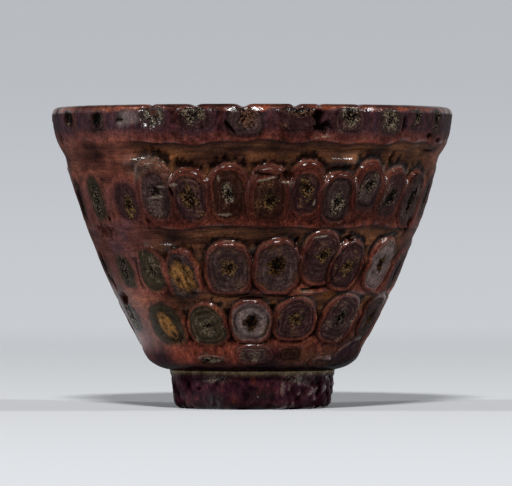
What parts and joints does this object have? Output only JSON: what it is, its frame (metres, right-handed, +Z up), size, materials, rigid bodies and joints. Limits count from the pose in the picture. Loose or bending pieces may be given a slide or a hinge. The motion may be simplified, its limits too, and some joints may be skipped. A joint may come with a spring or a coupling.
{
  "type": "bamboo root cup",
  "caption": "Round tea cup carved from the root end of a bamboo stem, with a flared mouth, rows of pared root ends round its wall and a low turned foot.",
  "frame": {"origin": "centre of the foot's underside, on the surface that the cup stands on", "axes": "+Z up along the axis of the cup, -Y towards the side that the picture shows, +X to its right"},
  "size_m": [0.088, 0.088, 0.066],
  "materials": {
    "culm_wall": "oiled and polished, red-brown",
    "foot_wood": "oiled and polished, plum-brown",
    "root_end": "polished end grain, grey-brown"
  },
  "bodies": {
    "root": {"bowl": "culm_wall", "foot": "foot_wood", "upper_root_01": "root_end", "upper_root_02": "root_end", "upper_root_03": "root_end", "upper_root_04": "root_end", "upper_root_05": "root_end", "upper_root_06": "root_end", "upper_root_07": "root_end", "upper_root_08": "root_end", "upper_root_09": "root_end", "upper_root_10": "root_end", "upper_root_11": "root_end", "upper_root_12": "root_end", "upper_root_13": "root_end", "upper_root_14": "root_end", "upper_root_15": "root_end", "upper_root_16": "root_end", "upper_root_17": "root_end", "upper_root_18": "root_end", "upper_root_19": "root_end", "upper_root_20": "root_end", "upper_root_21": "root_end", "upper_root_22": "root_end", "upper_root_23": "root_end", "upper_root_24": "root_end", "upper_root_25": "root_end", "middle_root_01": "root_end", "middle_root_02": "root_end", "middle_root_03": "root_end", "middle_root_04": "root_end", "middle_root_05": "root_end", "middle_root_06": "root_end", "middle_root_07": "root_end", "middle_root_08": "root_end", "middle_root_09": "root_end", "middle_root_10": "root_end", "middle_root_11": "root_end", "middle_root_12": "root_end", "middle_root_13": "root_end", "middle_root_14": "root_end", "middle_root_15": "root_end", "middle_root_16": "root_end", "middle_root_17": "root_end", "middle_root_18": "root_end", "lower_root_01": "root_end", "lower_root_02": "root_end", "lower_root_03": "root_end", "lower_root_04": "root_end", "lower_root_05": "root_end", "lower_root_06": "root_end", "lower_root_07": "root_end", "lower_root_08": "root_end", "lower_root_09": "root_end", "lower_root_10": "root_end", "lower_root_11": "root_end", "lower_root_12": "root_end", "lower_root_13": "root_end", "lower_root_14": "root_end"}
  },
  "joints": []
}
